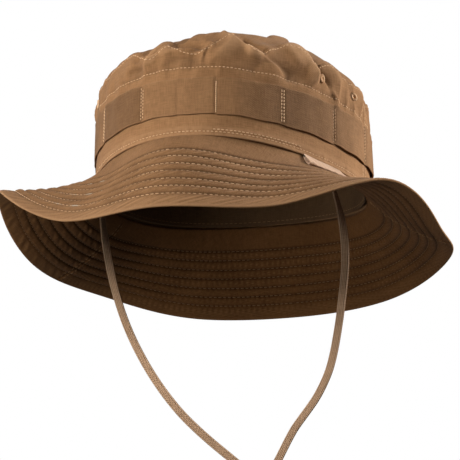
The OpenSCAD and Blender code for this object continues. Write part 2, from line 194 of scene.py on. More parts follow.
def surface(name, grid, uv, rows_round=False, columns_round=False, lids=(), keep=None, marks=None):
    """A piece made of a grid of points (rows, columns, 3), with one quad between neighbours, whose
    front is columns across rows. Rows or columns that go round join their last to their first.
    uv has one more row or column there. lids names the end rows, 0 and -1, that a fan closes, keep
    says which quads stay, and marks is the relief from which a cloth paints shade where it is low
    and a lighter colour where it is high, partly wear and partly painted highlight."""
    rows, columns = grid.shape[:2]
    down = np.arange(rows if rows_round else rows - 1)[:, None]
    over = np.arange(columns if columns_round else columns - 1)[None]
    sides = [(down, over), (down, over + 1), (down + 1, over + 1), (down + 1, over)]
    quads = np.stack([(i % rows) * columns + j % columns for i, j in sides], -1).reshape(-1, 4)
    spots = np.stack([i * uv.shape[1] + j for i, j in sides], -1).reshape(-1, 4)
    if keep is not None:
        quads, spots = quads[keep.ravel()], spots[keep.ravel()]
    points = grid.reshape(-1, 3)
    faces = quads.tolist()
    corners = uv.reshape(-1, 2)[spots.ravel()]
    for end in lids:
        a = np.arange(columns) + (rows - 1) * columns * (end == -1)
        b = np.roll(a, -1)
        hub = np.full(columns, len(points))
        points = np.concatenate([points, grid[[end]].mean(1)])
        faces += (np.stack([a, b, hub], -1) if end else np.stack([b, a, hub], -1)).tolist()
        corners = np.concatenate([corners, np.repeat(uv[end, :columns], 3, axis=0)])
    mesh = bpy.data.meshes.new(name)
    mesh.from_pydata(points.tolist(), [], faces)
    mesh.uv_layers.new(name="cloth").data.foreach_set("uv", corners.ravel())
    # The relief attribute carries painted light: painted shade where it is low, painted highlight and wear
    # where it is high
    relief = np.zeros(len(points))
    if marks is not None:
        relief[:marks.size] = marks.ravel()
    mesh.attributes.new("relief", "FLOAT", "POINT").data.foreach_set("value", relief)
    mesh.shade_smooth()
    piece = bpy.data.objects.new(name, mesh)
    scene.collection.objects.link(piece)
    return piece


def weave_group():
    """Plain weave as a node group. Threads of the given pitch cross over and under each other, are
    uneven along their length, and every so often a thicker one makes the ripstop squares."""
    group = bpy.data.node_groups.new("weave", "ShaderNodeTree")
    face = group.interface
    face.new_socket("Vector", in_out="INPUT", socket_type="NodeSocketVector")
    for name, value in (("Threads", 2200.0), ("Squares", 190.0), ("Rib", 0.35)):
        face.new_socket(name, in_out="INPUT", socket_type="NodeSocketFloat").default_value = value
    face.new_socket("Height", in_out="OUTPUT", socket_type="NodeSocketFloat")
    face.new_socket("Tone", in_out="OUTPUT", socket_type="NodeSocketFloat")
    nodes, links = group.nodes, group.links
    given = nodes.new("NodeGroupInput")
    made = nodes.new("NodeGroupOutput")
    split = nodes.new("ShaderNodeSeparateXYZ")
    links.new(given.outputs["Vector"], split.inputs[0])

    def maths(kind, a, b=None):
        node = nodes.new("ShaderNodeMath")
        node.operation = kind
        for socket, value in zip(node.inputs, (a, b)):
            if isinstance(value, (int, float)):
                socket.default_value = value
            elif value is not None:
                links.new(value, socket)
        return node.outputs[0]

    waves, ribs, streaks = [], [], []
    for axis in ("X", "Y"):
        turns = maths("MULTIPLY", maths("MULTIPLY", split.outputs[axis], given.outputs["Threads"]), 3.1416)
        waves.append(maths("SINE", turns))
        square = maths("MULTIPLY", split.outputs[axis], given.outputs["Squares"])
        near = maths("PINGPONG", square, 0.5)
        ribs.append(maths("MULTIPLY", maths("LESS_THAN", near, 0.06), given.outputs["Rib"]))
        stretch = nodes.new("ShaderNodeMapping")
        stretch.vector_type = "POINT"
        stretch.inputs["Scale"].default_value = (1500, 160, 1) if axis == "X" else (160, 1500, 1)
        links.new(given.outputs["Vector"], stretch.inputs["Vector"])
        noise = nodes.new("ShaderNodeTexNoise")
        noise.inputs["Scale"].default_value = 1
        noise.inputs["Detail"].default_value = 2
        links.new(stretch.outputs[0], noise.inputs["Vector"])
        streaks.append(noise.outputs["Fac"])
    cross = maths("MULTIPLY", waves[0], waves[1])
    rib = maths("MAXIMUM", ribs[0], ribs[1])
    streak = maths("ADD", streaks[0], streaks[1])
    links.new(maths("ADD", maths("ADD", cross, maths("MULTIPLY", streak, 1.6)), rib), made.inputs["Height"])
    tone = maths("ADD", maths("MULTIPLY", streak, 0.5), maths("MULTIPLY", rib, 0.35))
    links.new(tone, made.inputs["Tone"])
    return group


weave = weave_group()


def cloth(name, shade, lit, wear_and_painted_highlight, bump, roughness, sheen, threads, squares=190.0, rib=0.35):
    """A woven cloth: colour runs from shade in the dark threads and soft patches to lit. The relief
    attribute paints light on it: painted shade in the hollows, and a lighter colour on raised parts
    and edges that is partly wear and partly painted highlight. The weave and soft unevenness go into
    the bump."""
    paint = bpy.data.materials.new(name)
    paint.use_nodes = True
    nodes, links = paint.node_tree.nodes, paint.node_tree.links
    skin = nodes["Principled BSDF"]
    skin.inputs["Roughness"].default_value = roughness
    skin.inputs["Specular IOR Level"].default_value = 0.12
    skin.inputs["Sheen Weight"].default_value = sheen
    skin.inputs["Sheen Roughness"].default_value = 0.45
    own = nodes.new("ShaderNodeUVMap")
    own.uv_map = "cloth"
    threads_in = nodes.new("ShaderNodeGroup")
    threads_in.node_tree = weave
    threads_in.inputs["Threads"].default_value = threads
    threads_in.inputs["Squares"].default_value = squares
    threads_in.inputs["Rib"].default_value = rib
    links.new(own.outputs[0], threads_in.inputs["Vector"])
    place = nodes.new("ShaderNodeTexCoord")
    cloud = nodes.new("ShaderNodeTexNoise")
    cloud.inputs["Scale"].default_value = 38
    cloud.inputs["Detail"].default_value = 5
    cloud.inputs["Roughness"].default_value = 0.6
    links.new(place.outputs["Object"], cloud.inputs["Vector"])
    uneven = nodes.new("ShaderNodeMath")
    uneven.operation = "MULTIPLY_ADD"
    uneven.inputs[1].default_value = 0.55
    links.new(cloud.outputs["Fac"], uneven.inputs[0])
    links.new(threads_in.outputs["Tone"], uneven.inputs[2])
    spread = nodes.new("ShaderNodeMapRange")
    spread.inputs["From Min"].default_value = 0.52
    spread.inputs["From Max"].default_value = 1.05
    links.new(uneven.outputs[0], spread.inputs["Value"])
    body = nodes.new("ShaderNodeMix")
    body.data_type = "RGBA"
    body.inputs["A"].default_value = (*shade, 1)
    body.inputs["B"].default_value = (*lit, 1)
    links.new(spread.outputs[0], body.inputs["Factor"])
    # Painted light from the relief attribute: raised parts and edges turn towards the lighter colour, partly
    # wear and partly painted highlight
    height = nodes.new("ShaderNodeAttribute")
    height.attribute_name = "relief"
    painted_highlight_and_wear_mask = nodes.new("ShaderNodeMapRange")
    painted_highlight_and_wear_mask.inputs["From Min"].default_value = 0.15
    painted_highlight_and_wear_mask.inputs["From Max"].default_value = 1.0
    links.new(height.outputs["Fac"], painted_highlight_and_wear_mask.inputs["Value"])
    edge = nodes.new("ShaderNodeMix")
    edge.data_type = "RGBA"
    edge.inputs["B"].default_value = (*wear_and_painted_highlight, 1)
    links.new(painted_highlight_and_wear_mask.outputs[0], edge.inputs["Factor"])
    links.new(body.outputs["Result"], edge.inputs["A"])
    # Painted shade: the colour is multiplied darker in the hollows, down to 0.48 of itself
    painted_hollow_shade = nodes.new("ShaderNodeMapRange")
    painted_hollow_shade.inputs["From Min"].default_value = -1.0
    painted_hollow_shade.inputs["From Max"].default_value = -0.05
    painted_hollow_shade.inputs["To Min"].default_value = 0.48
    links.new(height.outputs["Fac"], painted_hollow_shade.inputs["Value"])
    dim = nodes.new("ShaderNodeMix")
    dim.data_type = "RGBA"
    dim.blend_type = "MULTIPLY"
    dim.inputs["Factor"].default_value = 1
    links.new(edge.outputs["Result"], dim.inputs["A"])
    links.new(painted_hollow_shade.outputs[0], dim.inputs["B"])
    links.new(dim.outputs["Result"], skin.inputs["Base Color"])
    relief = nodes.new("ShaderNodeBump")
    relief.inputs["Strength"].default_value = 0.55
    relief.inputs["Distance"].default_value = bump
    links.new(threads_in.outputs["Height"], relief.inputs["Height"])
    soft = nodes.new("ShaderNodeBump")
    soft.inputs["Strength"].default_value = 0.35
    soft.inputs["Distance"].default_value = 0.0012
    links.new(cloud.outputs["Fac"], soft.inputs["Height"])
    links.new(soft.outputs[0], relief.inputs["Normal"])
    links.new(relief.outputs[0], skin.inputs["Normal"])
    return paint


line = halve(halve(halve(halve(cord_route))))
sewn_in = np.array([-77.5, -34.3, -6.8, 0])
line = np.concatenate([[sewn_in], line, [sewn_in * [-1, 1, 1, 1]]])
turn = np.radians(line[:, 3])
line = line[:, :3] / 1000
broad = np.stack([np.sin(turn), np.cos(turn), 0 * turn], -1)
# Section of the braid: a flat oval whose two faces carry five ribs
round_it = np.linspace(0, 2 * np.pi, 84, endpoint=False)
across = np.sign(np.cos(round_it)) * np.abs(np.cos(round_it)) ** 0.75
rib = np.abs(np.cos(2.5 * np.pi * across)) ** 0.7
# Painted light on the braid: painted shade between the ribs and painted highlight on them
rib_painted_light = 1.5 * rib - 0.9
thick = np.sign(np.sin(round_it)) * np.abs(np.sin(round_it)) ** 0.55 * (0.55 + 0.45 * rib)
braid_profile = np.stack([across * cord_width / 2, thick * cord_thick / 2], -1)
rings = carry(braid_profile, line, broad)
run = lengths(line)
braid_girth = lengths(np.concatenate([braid_profile, braid_profile[:1]]))
braid_uv = np.stack(np.broadcast_arrays(braid_girth[None], run[:, None]), -1)
chin_cord = surface("chin_cord_braid", rings, braid_uv, columns_round=True, lids=(0, -1),
                    marks=np.broadcast_to(rib_painted_light, rings.shape[:2]))
braid_cloth = cloth("braid", (0.26, 0.15, 0.08), (0.52, 0.33, 0.20), (0.68, 0.48, 0.32),
                    0.0005, 0.8, 0.1, 1300.0, squares=700.0, rib=0.0)
chin_cord.data.materials.append(braid_cloth)
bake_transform(chin_cord)
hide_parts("chin_cord")


# ---------- Crown ----------
# Brown ripstop cotton: a front and a back side panel and an oval top panel, joined by felled
# seams. The cloth is slack, so the top falls into folds between the shoulder and the top seam.
seam_a, seam_b, seam_dip = 0.102, 0.0845, 0.010
crown_h, wall_h, shoulder = 0.084, 0.043, 2.4
cloth_thick = 0.0008


def outward(t):
    """Direction in plan square to the seam's oval at t: the sine over the half width, and minus the
    cosine over the half length, made one long."""
    return unit(np.stack([np.sin(t) / seam_b, -np.cos(t) / seam_a], -1))


# The crown's profile from its apex down: the share k of the seam's size, and the height z, along a
# superellipse for the dome and a straight wall below it, with the distance m walked on a mean radius
swing = np.linspace(0, np.pi / 2, 3001)
profile_k = np.concatenate([np.sin(swing) ** (2 / shoulder), np.ones(400)])
profile_z = np.concatenate([wall_h + (crown_h - wall_h) * np.cos(swing) ** (2 / shoulder),
                            np.linspace(wall_h, -0.004, 401)[1:]])
mean_radius = (seam_a + seam_b) / 2
profile_m = lengths(np.stack([profile_k * mean_radius, profile_z], -1))


def walked(z):
    """Distance from the apex down the crown at which it has the height z."""
    return np.interp(-z, -profile_z, profile_m)


# Folds of the slack cloth: where each begins and ends as an angle and a distance from the apex,
# how far it bows sideways, how high it stands (a hollow is negative) and how wide it is, in mm. The
# flank to the left of the way it runs is the steep one, or the other where the width is negative.
folds = [
    # front, towards the wearer's right
    (-31, 90, -17, 101, 2, 2.2, 5), (-15, 107, -6, 90, 0, 3.6, 4.5), (-21, 101, -14, 88, 0, -3.4, -7),
    (-25, 108, -18, 107, 0, -2.4, 4), (-45, 76, -14, 79, 0, -6.2, -12), (-62, 98, -48, 101, 0, 0.5, 9),
    # front
    (-4, 108, 11, 105, 0, -2.2, 6), (-2, 93, 12, 98, 0, -3.8, 4), (-14, 80, 1, 84, 0, -5.4, -12),
    (-6, 103, 6, 99, 0, 2.2, -4), (10, 108, 14, 95, 1, 2.6, -4.0), (9, 84, 26, 80, 0, 1.0, 7),
    (14, 110, 22, 96, 0, 1.8, 9),
    # front, towards the wearer's left: a curved crease, a short one and the great fold
    (19, 84, 32, 103, -3, 4.6, 5.5), (30, 100, 42, 111, 1, 2.6, 5), (28, 86, 36, 98, -1, -4.4, 5),
    (36, 102, 46, 109, 0, -1.8, 5), (30, 80, 44, 84, 0, -1.0, 7), (44, 88, 50, 103, 0, 2.0, -8),
    (49, 88, 57.5, 109, 2, 5.2, 6.5), (54, 78, 62, 80, 0, -2.0, -8), (43, 70, 53, 72, 0, 2.2, -7),
    (56, 106, 69, 116, 2, 3.0, 5), (57, 82, 60, 98, 0, -5.4, 7), (57, 95, 67, 114, 1, -3.4, 4.5),
    (66, 88, 70, 104, 0, 1.8, 7), (66, 84, 98, 88, 0, -2.2, -12),
    # the wearer's left: four soft upright folds
    (72, 98, 70, 121, 0, 1.7, 3.4), (78, 97, 75.5, 120, 0, 1.4, 3.0), (83, 98, 81, 119, 0, 1.5, 3.0),
    (90, 100, 88, 121, 0, 1.6, 3.4),
    # top
    (150, 48, 208, 40, 6, -3.2, 15), (60, 24, 235, 38, 0, -2.4, 11), (-10, 45, 30, 62, 0, -1.8, 12),
    # back and the wearer's right
    (118, 86, 134, 108, 2, 3.4, 5), (126, 84, 141, 104, 0, -3.0, 7), (150, 84, 158, 107, 0, -3.2, 6),
    (178, 92, 172, 109, 1, 1.6, 7), (200, 86, 210, 109, 2, 2.4, -6), (222, 84, 231, 104, 0, -3.2, 7),
    (250, 92, 256, 112, 0, 2.8, 5), (268, 88, 280, 108, 0, -2.8, 6), (290, 96, 294, 116, 0, 1.8, 4),
    (100, 88, 108, 106, 0, -2.8, 6),
]
# Fold height at which a fold's painted shade or painted highlight is full
fold_full_mark = 0.006
# Where the folds pull the top seam: the angle, how far down it goes there in mm (up is negative),
# and the width of the pull in degrees
pulls = [
    (-28, -5, 8), (-13, 5.5, 5), (-5.5, -3, 3.5), (7, 3.5, 7.5), (21, -9.5, 6.5), (31.5, 4, 4), (46, -8, 8),
    (57, 4, 4), (67, -4, 6), (125, 3, 9), (152, -4, 8), (205, 4, 9), (232, -4, 8), (275, 3, 10),
]
top_seam_z = 0.057
slack = np.random.default_rng(11)
slack_waves = [(slack.uniform(0, 2 * np.pi), slack.uniform(0.012, 0.040), slack.uniform(0, 2 * np.pi))
               for _ in range(9)]


def slack_height(t, m):
    """How far the slack cloth stands off its smooth dome. Each fold is a crest along the bowed line
    between its ends, with flanks that fall away exponentially, one of them 2.6 times as fast, and
    ends that fade, all laid out on the flattened crown where m is the distance from the middle.
    Long low waves are added."""
    x, y = m * np.sin(t), m * np.cos(t)
    height = 0 * x
    for t0, m0, t1, m1, bow, high, wide in folds:
        start = m0 / 1000 * np.array([np.sin(np.radians(t0)), np.cos(np.radians(t0))])
        stop = m1 / 1000 * np.array([np.sin(np.radians(t1)), np.cos(np.radians(t1))])
        chord = stop - start
        long = np.hypot(*chord)
        u = ((x - start[0]) * chord[0] + (y - start[1]) * chord[1]) / long ** 2
        side = ((x - start[0]) * chord[1] - (y - start[1]) * chord[0]) / long
        off = (side - bow / 1000 * 4 * u * (1 - u)) / (wide / 1000)
        off = np.where(off > 0, 2.6 * off, off)
        ends = np.clip(1 - ((u - 0.5) / 0.66) ** 4, 0, 1)
        height = height + high / 1000 * np.exp(-(np.sqrt(off ** 2 + 0.04) - 0.2)) * ends * (np.abs(off) < 6)
    for way, wavelength, phase in slack_waves:
        ahead = x * np.cos(way) + y * np.sin(way)
        height = height + 0.00022 * np.sin(ahead * 2 * np.pi / wavelength + phase)
    loose = np.clip((0.1235 - m) / 0.011, 0, 1)
    return height * loose * loose * (3 - 2 * loose)


def top_seam(t):
    """Distance from the apex to the top seam, which the folds pull up and down."""
    m = walked(top_seam_z) + 0 * t
    for at, pull, wide in pulls:
        away = (np.degrees(t) - at + 180) % 360 - 180
        m = m + pull / 1000 * np.exp(-(away / wide) ** 2)
    return m


def topstitch_z(t):
    """Height of the line of stitching above the band: 43 mm at the front and 39 at the sides."""
    return 0.043 - 0.004 * np.sin(t - 0.09) ** 2


def sewn_height(t, m, ripple):
    """Fine relief of the side panels: the felled top seam stands up, stitch lines sink in between
    puckers, the cloth is doubled below the line above the band, the side seams are felled, and the
    turned edge at the brim is a little proud."""
    below = m - top_seam(t)
    run_along = t * mean_radius
    pucker = np.sin(run_along * 2 * np.pi / 0.0064 + 2 * np.sin(run_along * 71)) * np.sin(run_along * 131 + 1)
    felled = 0.00055 * np.exp(-(below / 0.0042) ** 4) * (below > -1e-9)
    line_a = (m - walked(topstitch_z(t))) / 0.0011
    line_b = (below - 0.0017) / 0.0010
    line_c = (m - walked(0.0022)) / 0.0010
    sunk = 0.00030 * (np.exp(-line_a ** 2) + np.exp(-line_b ** 2) + np.exp(-line_c ** 2))
    turned = 0.00060 / (1 + np.exp(-(m - walked(0.0055)) / 0.0007))
    doubled = 0.00022 / (1 + np.exp(-(line_a - 0.5) * 3))
    side = np.minimum(np.abs(np.degrees(t) - 92), np.abs(np.degrees(t) - 268)) % 360
    side = np.minimum(side, np.abs(np.degrees(t) + 92))
    fell = 0.00045 * np.exp(-(side * 1.6 / 5.0) ** 4)
    near = np.exp(-(line_a / 4) ** 2) + np.exp(-(line_b / 4) ** 2) + np.exp(-(line_c / 3) ** 2)
    return felled - sunk + turned + doubled + fell + ripple * 0.00013 * pucker * near


def crown(t, m, off=0.0, ripple=1.0, sewn=True):
    """Point of the crown at angle t and distance m from the apex: the share k of the seam's oval at
    height z, lowered at the sides by the dip, and moved out along the profile's normal."""
    t, m = np.broadcast_arrays(np.asarray(t, float), np.asarray(m, float))
    k = np.interp(m, profile_m, profile_k)
    z = np.interp(m, profile_m, profile_z)
    rise = np.clip((z - wall_h) / (crown_h - wall_h), 0, 1)
    steep = unit(np.stack([k ** (shoulder - 1) / seam_a, rise ** (shoulder - 1) / (crown_h - wall_h)], -1))
    off = off + slack_height(t, m)
    if sewn:
        off = off + sewn_height(t, m, ripple)
    way = outward(t) * (steep[..., :1] * np.asarray(off)[..., None])
    return np.stack([k * seam_b * np.sin(t) + way[..., 0], -k * seam_a * np.cos(t) + way[..., 1],
                     z - seam_dip * np.sin(t) ** 2 * (1 - z / crown_h) + steep[..., 1] * off], -1)


def crown_top(t, v):
    """Point of the top panel, v from 0 at its seam to 1 near the apex. Its edge is tucked under."""
    m = top_seam(t) * (1 - v) + 0.001 * v
    tucked = -0.00045 * np.exp(-((top_seam(t) - m) / 0.0014) ** 2)
    return crown(t, m, tucked, sewn=False)


def thickened(piece, thickness):
    """Gives a sheet its cloth's thickness, inwards from the modelled face."""
    wall = piece.modifiers.new("cloth", "SOLIDIFY")
    wall.thickness = thickness
    wall.offset = -1
    return piece


def wall_arc(t0, t1):
    """Length of the seam's oval between two angles."""
    t = np.linspace(t0, t1, 2000)
    return float(lengths(np.stack([seam_b * np.sin(t), -seam_a * np.cos(t)], -1))[-1])


crown_cloth = cloth("crown_cloth", (0.20, 0.100, 0.041), (0.36, 0.190, 0.086), (0.46, 0.265, 0.135),
                    0.00025, 0.88, 0.06, 2100.0, rib=0.05)
t = np.radians(np.arange(0, 360, 0.62))[None]
v = np.linspace(0, 1, 96)[:, None] ** 0.93
grid = crown_top(t, v)
t_shut = np.append(t[0], 2 * np.pi)[None]
reach = top_seam(t_shut) * (1 - v)
top_uv = np.stack([reach * np.sin(t_shut), -reach * np.cos(t_shut)], -1)
# Painted light on the top panel: painted shade in the fold hollows and a lighter colour on the crests
fold_painted_light = slack_height(t, top_seam(t) * (1 - v)) / fold_full_mark
crown_top_cloth = surface("crown_top_cloth", grid, top_uv, columns_round=True, lids=(-1,), marks=fold_painted_light)
thickened(crown_top_cloth, cloth_thick)
crown_top_cloth.data.materials.append(crown_cloth)
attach(crown_top_cloth, "hat")
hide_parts("crown_top")

eyelet_z = 0.048
eyelet_spots = [(np.radians(a), walked(eyelet_z)) for a in (60.5, 81.5, -60.5, -81.5)]
for name, start, stop in (("crown_side_front", -92, 92), ("crown_side_back", 92, 268)):
    t = np.radians(np.linspace(start + 0.04, stop - 0.04, int((stop - start) / 0.58)))[None]
    v = np.linspace(0, 1, 66)[:, None]
    m = walked(-0.0006) * (1 - v) + top_seam(t) * v
    grid = crown(t, m)
    keep = np.ones((grid.shape[0] - 1, grid.shape[1] - 1), bool)
    middles = (grid[1:, 1:] + grid[:-1, :-1]) / 2
    for at in eyelet_spots:
        keep &= np.linalg.norm(middles - crown(*at), axis=-1) > 0.0016
    uv = np.stack(np.broadcast_arrays(t * mean_radius, -m), -1)
    # Painted light on the side panels: painted shade in fold hollows and sunk stitch lines and a little all
    # over, and a lighter colour on crests, felled seams and the turned edge
    marks = slack_height(t, m) / fold_full_mark + sewn_height(t, m, 1.0) / 0.0014 - 0.15
    side = surface(name + "_cloth", grid, uv, keep=keep, marks=marks)
    thickened(side, cloth_thick)
    side.data.materials.append(crown_cloth)
    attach(side, "hat")
    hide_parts(name)


# ---------- Stitching of the crown ----------
# Polyester thread, lighter than the cloth, lock-stitched at about 2.5 mm: along the top seam, in a
# line above the band, along the brim seam with a second row at its left front, and in two rows down
# each side seam.
def sew(line, up, pitch, thread, share=0.68, phase=0.0):
    """Stitches along a line of surface points with their outward directions: small rounded bars, one
    every pitch, share of the pitch long, half sunk at their ends. Returns points and faces."""
    run = lengths(line)
    at = np.arange(0.5 + phase, run[-1] / pitch - 0.5) * pitch
    spot = np.stack([np.interp(at, run, line[:, i]) for i in range(3)], -1)
    rise = unit(np.stack([np.interp(at, run, up[:, i]) for i in range(3)], -1))
    ahead = np.stack([np.interp(at + pitch / 2, run, line[:, i]) for i in range(3)], -1)
    behind = np.stack([np.interp(at - pitch / 2, run, line[:, i]) for i in range(3)], -1)
    along = unit(ahead - behind)
    aside = np.cross(rise, along)
    ring = np.linspace(0, 2 * np.pi, 6, endpoint=False)
    place = np.array([-0.5, -0.36, 0, 0.36, 0.5])
    fat = np.array([0.45, 0.95, 1.0, 0.95, 0.45])
    lift = np.array([-0.35, 0.12, 0.32, 0.12, -0.35])
    x = np.repeat(place, 6) * pitch * share
    y = (fat[:, None] * np.cos(ring)).ravel() * thread / 2
    z = (fat[:, None] * np.sin(ring) + lift[:, None]).ravel() * thread / 2
    points = (spot[:, None] + x[None, :, None] * along[:, None] + y[None, :, None] * aside[:, None]
              + z[None, :, None] * rise[:, None])
    i, j = np.arange(4)[:, None], np.arange(6)[None]
    corners = (i * 6 + j, i * 6 + (j + 1) % 6, (i + 1) * 6 + (j + 1) % 6, (i + 1) * 6 + j)
    one = np.stack(np.broadcast_arrays(*corners), -1)
    faces = one.reshape(-1, 4)[None] + 30 * np.arange(len(at))[:, None, None]
    ends = np.stack([np.arange(5, -1, -1), 24 + np.arange(6)])[None] + 30 * np.arange(len(at))[:, None, None]
    return points.reshape(-1, 3), faces.reshape(-1, 4), ends.reshape(-1, 6)


def stitching(name, rows, paint):
    """One piece of many rows of stitches, each as sew() gives it."""
    points, faces, count = [], [], 0
    for spots, quads, ends in rows:
        points.append(spots)
        faces += (quads + count).tolist() + (ends + count).tolist()
        count += len(spots)
    mesh = bpy.data.meshes.new(name)
    mesh.from_pydata(np.concatenate(points).tolist(), [], faces)
    mesh.shade_smooth()
    mesh.materials.append(paint)
    piece = bpy.data.objects.new(name, mesh)
    scene.collection.objects.link(piece)
    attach(piece, "hat")
    return piece


def on(shape, a, b):
    """Points of a surface along the arrays a and b, with its outward directions there, from small
    steps both ways."""
    a, b = np.broadcast_arrays(np.asarray(a, float), np.asarray(b, float))
    here = shape(a, b)
    over = shape(a + 1e-4, b) - shape(a - 1e-4, b)
    down = shape(a, b + 1e-5) - shape(a, b - 1e-5)
    return here, unit(np.cross(over, -down))


def sewing_thread(name, dark, light):
    """Twisted thread: two tones in fine slanting bands, a little glossy."""
    paint = bpy.data.materials.new(name)
    paint.use_nodes = True
    nodes, links = paint.node_tree.nodes, paint.node_tree.links
    skin = nodes["Principled BSDF"]
    skin.inputs["Roughness"].default_value = 0.7
    skin.inputs["Specular IOR Level"].default_value = 0.2
    place = nodes.new("ShaderNodeTexCoord")
    twist = nodes.new("ShaderNodeTexWave")
    twist.inputs["Scale"].default_value = 900
    twist.inputs["Distortion"].default_value = 1.5
    links.new(place.outputs["Object"], twist.inputs["Vector"])
    cloud = nodes.new("ShaderNodeTexNoise")
    cloud.inputs["Scale"].default_value = 300
    links.new(place.outputs["Object"], cloud.inputs["Vector"])
    tone = nodes.new("ShaderNodeMath")
    tone.operation = "MULTIPLY"
    links.new(twist.outputs["Fac"], tone.inputs[0])
    links.new(cloud.outputs["Fac"], tone.inputs[1])
    mix = nodes.new("ShaderNodeMix")
    mix.data_type = "RGBA"
    mix.inputs["A"].default_value = (*light, 1)
    mix.inputs["B"].default_value = (*dark, 1)
    links.new(tone.outputs[0], mix.inputs["Factor"])
    links.new(mix.outputs["Result"], skin.inputs["Base Color"])
    bump = nodes.new("ShaderNodeBump")
    bump.inputs["Strength"].default_value = 0.4
    bump.inputs["Distance"].default_value = 0.0001
    links.new(twist.outputs["Fac"], bump.inputs["Height"])
    links.new(bump.outputs[0], skin.inputs["Normal"])
    return paint


thread = sewing_thread("thread", (0.40, 0.24, 0.12), (0.74, 0.49, 0.29))
# The same thread on the brim's underside and inside the crown, darkened as painted shade
thread_painted_shade = sewing_thread("thread_painted_shade", (0.16, 0.085, 0.036), (0.36, 0.205, 0.095))
t = np.linspace(np.pi, 3 * np.pi, 4000)
second_row = np.radians(np.linspace(14, 51, 500))
side_z = np.linspace(0.003, 0.055, 200)
crown_rows = [
    sew(*on(crown, t, top_seam(t) + 0.0017), 0.0024, 0.00052),
    sew(*on(crown, t, walked(topstitch_z(t))), 0.0024, 0.00052),
    sew(*on(crown, t, walked(0.0022) + 0 * t), 0.0025, 0.00050),
    sew(*on(crown, second_row, walked(0.0036) + 0 * second_row), 0.0025, 0.00055, phase=0.5)]
for angle in (90.3, 93.7, 266.3, 269.7):
    crown_rows.append(sew(*on(crown, np.radians(angle) + 0 * side_z, walked(side_z)), 0.0030, 0.00040))
stitching("crown_stitches", crown_rows, thread)


# ---------- Vent eyelets ----------
# Four small eyelets, two on each side, each a hole whipped round with thread that forms a ring
# on both faces of the cloth.
ring_line = np.array([
    (1.0, -1.3), (1.0, 0.45), (1.4, 0.78), (2.0, 0.85), (2.6, 0.60), (2.9, 0.12), (2.7, -0.05),
    (1.5, -0.1), (1.5, -0.75), (2.3, -0.82), (2.5, -1.0), (2.3, -1.35), (1.75, -1.6), (1.3, -1.55)]) / 1000
whips = 22
a = np.linspace(0, 2 * np.pi, whips * 8, endpoint=False)[None]
r = ring_line[:, 0, None] + 0.00007 * np.cos(whips * a) * (ring_line[:, 0, None] > 0.0020)
h = ring_line[:, 1, None] + 0.00010 * np.cos(whips * a) * np.sign(ring_line[:, 1, None] + 0.0004)
for number, (t, m) in enumerate(eyelet_spots):
    spot, rise = on(lambda t, m: crown(t, m, ripple=0), np.array([t]), np.array([m]))
    first = unit(np.cross(rise, [0, 0, 1]))
    second = np.cross(rise, first)
    grid = (spot + r[..., None] * (np.cos(a)[..., None] * first + np.sin(a)[..., None] * second)
            + h[..., None] * rise)[::-1]
    uv = np.stack(np.broadcast_arrays(np.linspace(0, 0.02, 1 + a.size)[None],
                                      np.arange(len(r) + 1)[:, None] * 0.0006), -1)
    ring = surface(f"eyelet_{number + 1}", grid, uv, rows_round=True, columns_round=True)
    ring.data.materials.append(thread)
    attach(ring, "hat")
    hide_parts("vent_eyelets")


# ---------- Seam tape ----------
# Bias-cut cotton tape, felled over the raw edges of the top seam inside the crown.
lining = cloth("lining", (0.085, 0.046, 0.020), (0.17, 0.096, 0.044), (0.22, 0.135, 0.07),
               0.0003, 0.9, 0.05, 1500.0, squares=900.0, rib=0.25)


def strap(near, far, span, count):
    """Closed section of a flat strip, as the distance across it and the depth through it: straight
    faces of count points each, from the depth far to the depth near, and round edges."""
    half = (near - far) / 2
    mid = (near + far) / 2
    flat = np.linspace(half, span - half, count)
    bend = np.linspace(0, np.pi, 7)[1:-1]
    across = np.concatenate([flat, span - half + half * np.sin(bend), flat[::-1], half - half * np.sin(bend)])
    depth = np.concatenate([mid + half + 0 * flat, mid + half * np.cos(bend), mid - half + 0 * flat,
                            mid - half * np.cos(bend)])
    return across[:, None], depth[:, None]


def ring_piece(name, shape, near, far, span, paint, columns, count, marks=None):
    """A strip sewn round the hat: its section carried round by shape(t, across, depth)."""
    across, depth = strap(near, far, span, count)
    t = np.linspace(0, 2 * np.pi, columns, endpoint=False)[None]
    grid = shape(t, across, depth)
    section = np.hstack([across, depth])
    around = lengths(np.concatenate([section, section[:1]]))
    run = np.linspace(0, wall_arc(0, 2 * np.pi), columns + 1)
    uv = np.stack(np.broadcast_arrays(run[None], around[:, None]), -1)
    piece = surface(name, grid, uv, rows_round=True, columns_round=True,
                    marks=None if marks is None else marks(t, across, depth))
    piece.data.materials.append(paint)
    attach(piece, "hat")
    return piece


seam_tape = ring_piece("seam_tape", lambda t, w, d: crown(t, top_seam(t) + 0.0045 - w, d, sewn=False),
                       -0.00105, -0.00160, 0.0045, lining, 420, count=5)
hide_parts("top_seam_tape")


# ---------- Foliage band ----------
# A strip of the same cloth, folded to 23 mm and tacked down upright every 41 mm, with a 48 mm loop
# at the front. Between the tacks it is free, and its lower edge stands off the crown.
band_w, band_z, band_thick = 0.023, 0.013, 0.0008
front_loop, loops, loop_gap = 0.048, 14, 0.0016
girth_all = wall_arc(0, 2 * np.pi)
loop_w = (girth_all - front_loop) / (loops - 1)
tack_places = front_loop / 2 + loop_w * np.arange(loops)
wheel = np.linspace(0, 2 * np.pi, 4001)
wheel_run = lengths(np.stack([seam_b * np.sin(wheel), -seam_a * np.cos(wheel)], -1))
